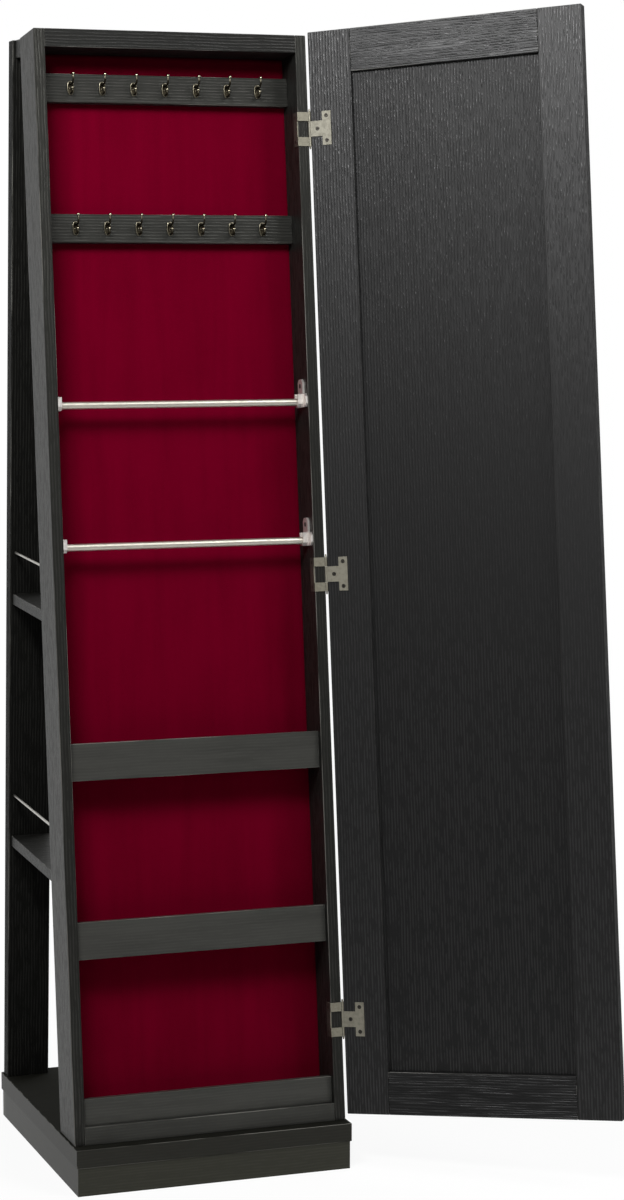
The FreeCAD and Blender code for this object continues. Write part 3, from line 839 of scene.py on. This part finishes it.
@dataclass
class DoubleHook:
    """One cast double hook in millimetres: an oval plate, a long prong above and a short one below.

    Each ring of the plate has its share of the outline, its share of the rise and its wear.
    """

    half_height: float = 9.5
    half_width: float = 4.7
    squareness: float = 2.7
    plate_rise: float = 2.0
    plate_rings: tuple[Vec, ...] = ((0.0, 0.0, 0.0), (1.0, 0.0, 0.1), (1.0, 0.62, 0.25),
                                    (0.97, 0.84, 0.5), (0.90, 0.98, 0.45), (0.80, 0.99, 0.2),
                                    (0.70, 0.86, 0.0), (0.0, 0.84, 0.0))
    plate_around: int = 40
    upper: Prong = Prong(root=5.0, reach=10.0, bend=6.5, rise=5.0)
    lower: Prong = Prong(root=-7.4, reach=7.0, bend=3.6, rise=2.6)
    prong_radius: float = 1.45
    taper: float = 0.16
    root_flare: float = 0.9
    flare_reach: float = 1.6
    ball: float = 2.3
    neck: float = 1.8
    around: int = 20
    steps: int = 44
    ball_steps: int = 14
    screw_spot: Vec = (1.6, -1.2, 0.0)
    screw: ScrewHead = field(default_factory=lambda: ScrewHead(radius=1.7, dome=0.7, slot=0.35))

    def plate(self) -> Patch:
        """The plate: rings of a rounded oval, carried from its back centre over the rim to the front centre.

        Returns:
            The closed plate, with x outward and y up.
        """
        size, rise, wear = np.array(self.plate_rings).T
        angle = np.linspace(0.0, 2 * np.pi, self.plate_around, endpoint=False)
        power = 2.0 / self.squareness
        across = np.sign(np.cos(angle)) * np.abs(np.cos(angle)) ** power * self.half_width
        up = np.sign(np.sin(angle)) * np.abs(np.sin(angle)) ** power * self.half_height
        points = np.empty((len(size), len(angle), 3))
        points[..., 0] = rise[:, None] * self.plate_rise
        points[..., 1] = size[:, None] * up
        points[..., 2] = size[:, None] * across
        return Patch.grid(points, np.repeat(wear[:, None], len(angle), axis=1), wrap=True)

    def arm(self, path: Prong) -> Patch:
        """A prong: a circle carried along its path, swelling into a ball at the end.

        The path is a straight run out of the plate, a quarter of a circle and a straight rise to the ball's
        middle. The radius flares at the root, and over the last stretch it is the half chord of the ball.

        Args:
            path: the prong's path.

        Returns:
            The prong's surface, closed at its tip.
        """
        arc = path.bend * np.pi / 2
        total = path.reach + arc + path.rise + self.ball
        neck = total - self.neck * self.ball
        along = np.concatenate([np.linspace(0.0, neck, self.steps),
                                np.linspace(neck, total, self.ball_steps)[1:]])
        turn = np.clip((along - path.reach) / path.bend, 0.0, np.pi / 2)
        over = np.maximum(along - path.reach - arc, 0.0)
        middle = np.stack([np.minimum(along, path.reach) + path.bend * np.sin(turn),
                           path.root + path.bend * (1 - np.cos(turn)) + over, np.zeros_like(along)], axis=-1)
        flare = self.root_flare * np.exp(-(along / self.flare_reach) ** 2)
        slim = self.prong_radius * (1.0 - self.taper * along / total) + flare
        chord = np.sqrt(np.maximum(self.ball ** 2 - (total - self.ball - along) ** 2, 0.0))
        radius = np.where(along >= total - self.ball, chord, np.maximum(slim, chord * (along > neck)))
        phi = np.linspace(0.0, 2 * np.pi, self.around, endpoint=False)
        normal = np.stack([-np.sin(turn), np.cos(turn), np.zeros_like(turn)], axis=-1)
        sideways = np.array([0.0, 0.0, 1.0])
        ring = np.cos(phi)[None, :, None] * normal[:, None, :] + np.sin(phi)[None, :, None] * sideways
        points = middle[:, None, :] + radius[:, None, None] * ring
        wear = np.repeat(np.clip(along / total, 0.0, 1.0)[:, None] ** 4, self.around, axis=1)
        return Patch.grid(points, wear, wrap=True)

    def build(self) -> Patch:
        """The whole hook, with x outward from the rail and y up.

        Returns:
            The hook's surface, in metres.
        """
        outward = np.array([(0, 1, 0), (0, 0, 1), (1, 0, 0)], float)
        screw = self.screw.build().placed(Seat(np.array(self.screw_spot), outward))
        return Patch.joined([self.plate(), self.arm(self.upper), self.arm(self.lower), screw]).in_metres()


@dataclass
class HookRows:
    """Two rows of double hooks on the hook rails."""

    rails: dict[str, float] = field(default_factory=lambda: {"upper": 1403.5 * MM, "lower": 1216.0 * MM})
    rail_face: float = 39.0 * MM
    pitch: float = 44.0 * MM
    count: int = 7

    def build(self) -> None:
        """Carry one hook along each rail, turned to face the front, and let it stand for the plain row."""
        hook = DoubleHook().build()
        to_front = [(0, -1, 0), (0, 0, 1), (-1, 0, 0)]
        spots = (np.arange(self.count) - (self.count - 1) / 2) * self.pitch
        for name, level in self.rails.items():
            seats = [cabinet_seat().moved(spot, self.rail_face, level).facing(to_front) for spot in spots]
            piece = Patch.joined([hook.placed(seat) for seat in seats]).to_object(f"double_hooks_{name}")
            piece.data.materials.append(RubbedBrass().material())
            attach(piece, Body.CABINET.value)
            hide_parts(f"hooks_{name}")
            LOG.info("%s: %d faces", piece.name, len(piece.data.polygons))


def finish_screws(name: str, patches: list[Patch], body: Body) -> None:
    """Make one piece of several screw heads.

    Args:
        name: the piece's name.
        patches: the heads in place.
        body: the body that they ride on.
    """
    piece = Patch.joined(patches).to_object(name)
    piece.data.materials.append(BlackSteel().material())
    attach(piece, body.value)
    LOG.info("%s: %d faces", piece.name, len(piece.data.polygons))


@dataclass
class ScarfRods:
    """Two nickel rods in open saddles, each saddle held by one screw."""

    levels: dict[str, float] = field(default_factory=lambda: {"upper": 978.0 * MM, "lower": 789.3 * MM})
    wall: float = 172.5 * MM
    depth: float = 23.0 * MM
    screw_rise: float = 22.0 * MM
    screw: ScrewHead = field(default_factory=lambda: ScrewHead(radius=3.2, dome=0.9))

    def dress(self) -> None:
        """Drawn nickel on rods and saddles."""
        rod = DrawnMetal("rod_nickel", bright=(0.525, 0.493, 0.434), dull=(0.37, 0.34, 0.29), roughness=0.42,
                         tarnish=0.25)
        rod.dress("scarf_rod_upper", "scarf_rod_lower")
        saddle = DrawnMetal("saddle_nickel", bright=(0.72, 0.69, 0.66), dull=(0.45, 0.42, 0.40),
                            lines=(900.0, 900.0, 900.0), roughness=0.5, tarnish=0.3)
        saddle.dress(*[f"rod_saddle_{level}_{side}" for level in self.levels for side in ("left", "right")])

    def build(self) -> None:
        """A domed screw on each saddle's tab, facing into the cabinet."""
        head = self.screw.build().in_metres()
        patches = []
        for level in self.levels.values():
            for side in (-1.0, 1.0):
                seat = cabinet_seat().moved(side * self.wall, self.depth, level + self.screw_rise)
                patches.append(head.placed(seat.facing(inward(side))))
        finish_screws("saddle_screws", patches, Body.CABINET)


@dataclass
class Hinges:
    """Three lift hinges: wall leaves inside the right side, tee leaves on the door, and pins."""

    levels: dict[str, float] = field(default_factory=lambda: {"lower": 137.0 * MM, "middle": 742.25 * MM,
                                                              "upper": 1347.5 * MM})
    wall_face: float = 174.3 * MM
    wall_depth: float = 8.5 * MM
    wall_spread: float = 16.5 * MM
    leaf_face: float = 0.5 * MM
    crossbar: float = -24.3 * MM
    stem: float = -11.3 * MM
    crossbar_spread: float = 16.8 * MM

    def dress(self) -> None:
        """Aged pale brass on every leaf and pin, with painted shade on faces along x. The door leaves are
        darker and less metallic.
        """
        # The wall leaves' and pins' faces along x get painted shade, which darkens the flanges inside the
        # case.
        drawn = DrawnMetal("pale_brass", bright=(0.235, 0.222, 0.174), dull=(0.13, 0.12, 0.09),
                           lines=(900.0, 900.0, 500.0), roughness=0.44, tarnish=0.45, metallic=0.7,
                           painted_side_shade=0.75)
        # The door leaves get a darker, less metallic copy of the brass.
        darker_brass = replace(drawn, name="dull_brass", bright=(0.175, 0.166, 0.130), dull=(0.1, 0.092, 0.07),
                          metallic=0.3, painted_side_shade=0.0)
        for level in self.levels:
            drawn.dress(f"hinge_{level}_wall_leaf", f"hinge_{level}_pin")
            darker_brass.dress(f"hinge_{level}_door_leaf")

    def build(self) -> None:
        """Nearly flush screw heads: two on each wall leaf and three on each door leaf."""
        head = ScrewHead().build().in_metres()
        off_door = [(0, 0, 1), (1, 0, 0), (0, 1, 0)]
        tee = [(self.crossbar, -self.crossbar_spread), (self.crossbar, self.crossbar_spread),
               (self.stem, 0.0)]
        inside, on_door = [], []
        for level in self.levels.values():
            for step in (-self.wall_spread, self.wall_spread):
                seat = cabinet_seat().moved(self.wall_face, self.wall_depth, level + step)
                inside.append(head.placed(seat.facing(inward(1.0))))
            for across, up in tee:
                seat = door_seat().moved(across, self.leaf_face, level + up)
                on_door.append(head.placed(seat.facing(off_door)))
        finish_screws("hinge_wall_screws", inside, Body.CABINET)
        finish_screws("hinge_door_screws", on_door, Body.DOOR)


@dataclass
class MirrorDoor:
    """The door: two stiles, two rails, a backing board inside and a mirror outside."""

    stiles: tuple[str, ...] = ("door_hinge_stile", "door_free_stile")

    def dress(self) -> None:
        """Grain along each stile, rail and the backing board, and silvered glass outside."""
        # The stiles' eased edges get only a faint painted highlight.
        stile = AshFoil("ash_door_stile", GrainWay.Z, DOOR_TURN, (4.2, 0.8, 0.1), tone=0.0003, streak=0.0135,
                        run_per_metre=50.0, wander=5.0, figure=0.12, roughness=0.38, gloss=0.32,
                        emboss=0.00065, edge_highlight=0.1, dull=(0.5, 0.0, 0.0), tint=(1.0, 1.0, 1.0))
        stile.dress(*self.stiles)
        rail = AshFoil("ash_door_top_rail", GrainWay.X, DOOR_TURN, (0.6, 3.3, 1.8), tone=0.0005, streak=0.014,
                       grooves_per_metre=290.0, run_per_metre=18.0, wander=20.0, figure=0.42, roughness=0.38,
                       gloss=0.42, emboss=0.002, tint=(1.0, 1.0, 1.0))
        rail.dress("door_top_rail")
        calmer = replace(rail, name="ash_door_bottom_rail", streak=0.010, gloss=0.22, emboss=0.0009)
        calmer.dress("door_bottom_rail")
        panel = AshFoil("ash_door_panel", GrainWay.Z, DOOR_TURN, (2.8, 1.5, 4.4), tone=0.0003, streak=0.012,
                        run_per_metre=50.0, wander=5.0, figure=0.12, roughness=0.4, gloss=0.25, emboss=0.0008,
                        tint=(1.0, 1.0, 1.0))
        panel.dress("door_backing")
        SilveredGlass().dress("door_mirror")


@dataclass(frozen=True)
class Lamp:
    """A rectangular soft lamp: where it hangs, the point it faces, its width and height, and its watts."""

    name: str
    spot: Vec
    aim: Vec
    size: Span
    power: float

    def build(self) -> None:
        """Hang the lamp and turn it to its aim."""
        light = bpy.data.lights.new(self.name, "AREA")
        light.shape = "RECTANGLE"
        light.size, light.size_y = self.size
        light.energy = self.power
        lamp = bpy.data.objects.new(self.name, light)
        away = np.array(self.spot) - np.array(self.aim)
        lamp.location = self.spot
        flat = math.hypot(away[0], away[1])
        lamp.rotation_euler = (math.atan2(flat, away[2]), 0.0, math.atan2(away[0], -away[1]))
        bpy.context.scene.collection.objects.link(lamp)


@dataclass
class Studio:
    """A white sweep, soft lamps and the camera of the photograph.

    The surround and the floor are dim to reflections on the camera's side, and fade to white over a span.
    Close to the object the floor keeps a little shade.
    """

    focal: float = 87.27
    sensor: float = 36.0
    eye: Vec = (-1.1818, -3.7891, 1.1997)
    tilt: float = 83.784
    heading: float = -19.189
    shift: Span = (0.0403, -0.0036)
    ambient: float = 0.22
    dim_side: float = 0.10
    side_fade: Span = (-0.5, 0.35)
    dim_floor: float = 0.18
    floor_fade: Span = (-1.2, 0.5)
    floor_half: float = 12.0
    floor_tone: float = 0.8
    near_white: float = 0.91
    near_fade: Span = (0.3, 1.4)
    lamps: tuple[Lamp, ...] = (
        Lamp("key", spot=(1.95, -2.1, 3.4), aim=(0.0, -0.1, 0.9), size=(1.5, 1.5), power=80.0),
        Lamp("left_softbox", spot=(-1.0, -1.35, 2.35), aim=(0.35, -0.3, 1.55), size=(0.8, 0.6), power=61.0),
        Lamp("rear_fill", spot=(2.3, 1.9, 2.3), aim=(0.0, 0.1, 0.8), size=(1.2, 1.2), power=38.0),
    )

    def seen(self, draft: ShaderDraft, mirrored: Socket) -> Socket:
        """How white the surround shows to a ray.

        Args:
            draft: the shader being drawn.
            mirrored: the share that a reflection sees.

        Returns:
            1 for the camera and through glass, the given share for reflections, and 0 for other light.
        """
        path = draft.node("LightPath").outputs
        shown = draft.larger(path["Is Camera Ray"], path["Is Transmission Ray"])
        return draft.larger(shown, draft.product(path["Is Glossy Ray"], mirrored))

    def world(self) -> None:
        """A white surround that lights less than it shows. Reflections see it dimmer on the camera's side."""
        world = bpy.data.worlds.new("studio")
        world.use_nodes = True
        draft = ShaderDraft(world.node_tree)
        towards = draft.parts(draft.coordinates("Generated"))[1]
        shown = self.seen(draft, draft.ranged(towards, self.side_fade, self.dim_side, 1.0))
        strength = draft.larger(shown, self.ambient)
        background = draft.node("Background", {"Color": grey(1.0), "Strength": strength})
        draft.put(draft.node("OutputWorld").inputs[0], background.outputs[0])
        bpy.context.scene.world = world

    def floor(self) -> None:
        """A wide pale floor that keeps some shadow: matte for light, nearly white for the camera."""
        corner = np.linspace(-self.floor_half, self.floor_half, 3)
        x, y = np.meshgrid(corner, corner)
        floor = Patch.grid(np.stack([x, y, np.zeros_like(x)], axis=-1)).to_object("floor", smooth=False)
        material = bpy.data.materials.new("pale_floor")
        material.use_nodes = True
        draft = ShaderDraft(material.node_tree)
        matte = draft.node("BsdfDiffuse", {"Color": grey(self.floor_tone)})
        white = draft.node("Emission", {"Color": grey(1.0), "Strength": 1.0})
        place = draft.coordinates()
        reach = draft.node("VectorMath", {0: place}, operation="LENGTH").outputs["Value"]
        depth = draft.parts(place)[1]
        shown = self.seen(draft, draft.ranged(depth, self.floor_fade, self.dim_floor, 1.0))
        share = draft.product(shown, draft.ranged(reach, self.near_fade, self.near_white, 1.0))
        blend = draft.node("MixShader", {0: share, 1: matte.outputs[0], 2: white.outputs[0]})
        draft.put(draft.node("OutputMaterial").inputs[0], blend.outputs[0])
        floor.data.materials.append(material)

    def camera(self) -> None:
        """The photograph's viewpoint, for a frame of 624 by 1200."""
        lens = bpy.data.cameras.new("camera")
        lens.sensor_width = self.sensor
        lens.lens = self.focal
        lens.shift_x, lens.shift_y = self.shift
        camera = bpy.data.objects.new("camera", lens)
        camera.location = self.eye
        camera.rotation_euler = (math.radians(self.tilt), 0.0, math.radians(self.heading))
        bpy.context.scene.collection.objects.link(camera)
        bpy.context.scene.camera = camera

    def build(self) -> None:
        """Set the stage."""
        bpy.context.scene.view_settings.view_transform = "Standard"
        self.world()
        self.floor()
        for lamp in self.lamps:
            lamp.build()
        self.camera()


def main() -> None:
    """Build and dress the sub-assemblies in order and set the stage, logging each finish and face count."""
    logging.basicConfig(level=logging.INFO, format="%(name)s %(message)s")
    Plinth().dress()
    Carcass().dress()
    lining = VelvetLining()
    lining.dress(lining.build())
    HookRows().build()
    rods = ScarfRods()
    rods.dress()
    rods.build()
    RearFrame().dress()
    MirrorDoor().dress()
    hinges = Hinges()
    hinges.dress()
    hinges.build()
    Studio().build()


if __name__ == "__main__":
    main()
